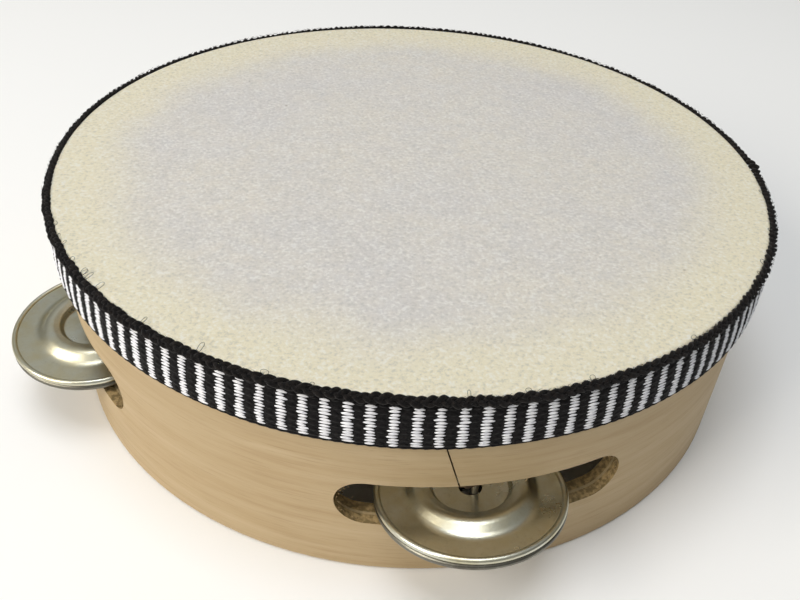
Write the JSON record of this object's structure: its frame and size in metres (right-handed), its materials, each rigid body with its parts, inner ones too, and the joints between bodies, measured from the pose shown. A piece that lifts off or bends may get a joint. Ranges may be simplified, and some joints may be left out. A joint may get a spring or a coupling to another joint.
{
  "type": "tambourine",
  "caption": "Headed tambourine: round wooden hoop with a stretched skin head, striped woven edge tape and pairs of stamped metal jingles that rattle on pins in slots.",
  "frame": {"origin": "centre of the hoop's lower edge, on the drum's axis", "axes": "+Z along the drum's axis, from the open side up to the head; -Y towards the first jingle pair"},
  "size_m": [0.2182, 0.22, 0.0595],
  "materials": {
    "wood": "bare sanded",
    "skin": "dry natural skin",
    "tape": "black and white woven ribbon",
    "cord": "black fuzzy cord",
    "pin": "dull wire nail",
    "jingle": "nickel-plated, softly bright"
  },
  "bodies": {
    "shell": {"outer_ply": "wood", "inner_ply": "wood", "head_skin": "skin", "striped_tape": "tape", "edge_cord": "cord", "jingle_pin_1": "pin", "jingle_pin_2": "pin", "jingle_pin_3": "pin", "jingle_pin_4": "pin"},
    "jingle_1_lower": {"jingle_1_lower": "jingle"},
    "jingle_1_upper": {"jingle_1_upper": "jingle"},
    "jingle_2_lower": {"jingle_2_lower": "jingle"},
    "jingle_2_upper": {"jingle_2_upper": "jingle"},
    "jingle_3_lower": {"jingle_3_lower": "jingle"},
    "jingle_3_upper": {"jingle_3_upper": "jingle"},
    "jingle_4_lower": {"jingle_4_lower": "jingle"},
    "jingle_4_upper": {"jingle_4_upper": "jingle"}
  },
  "joints": [
    {"name": "jingle_1_pair_slide", "type": "slide", "parent": "shell", "child": "jingle_1_lower", "axis": [0, 0, 1], "range_m": [0, 0.0021]},
    {"name": "jingle_1_upper_slide", "type": "slide", "parent": "jingle_1_lower", "child": "jingle_1_upper", "axis": [0, 0, 1], "range_m": [0, 0.0021]},
    {"name": "jingle_2_pair_slide", "type": "slide", "parent": "shell", "child": "jingle_2_lower", "axis": [0, 0, 1], "range_m": [0, 0.0021]},
    {"name": "jingle_2_upper_slide", "type": "slide", "parent": "jingle_2_lower", "child": "jingle_2_upper", "axis": [0, 0, 1], "range_m": [0, 0.0021]},
    {"name": "jingle_3_pair_slide", "type": "slide", "parent": "shell", "child": "jingle_3_lower", "axis": [0, 0, 1], "range_m": [0, 0.0021]},
    {"name": "jingle_3_upper_slide", "type": "slide", "parent": "jingle_3_lower", "child": "jingle_3_upper", "axis": [0, 0, 1], "range_m": [0, 0.0021]},
    {"name": "jingle_4_pair_slide", "type": "slide", "parent": "shell", "child": "jingle_4_lower", "axis": [0, 0, 1], "range_m": [0, 0.0021]},
    {"name": "jingle_4_upper_slide", "type": "slide", "parent": "jingle_4_lower", "child": "jingle_4_upper", "axis": [0, 0, 1], "range_m": [0, 0.0021]}
  ]
}
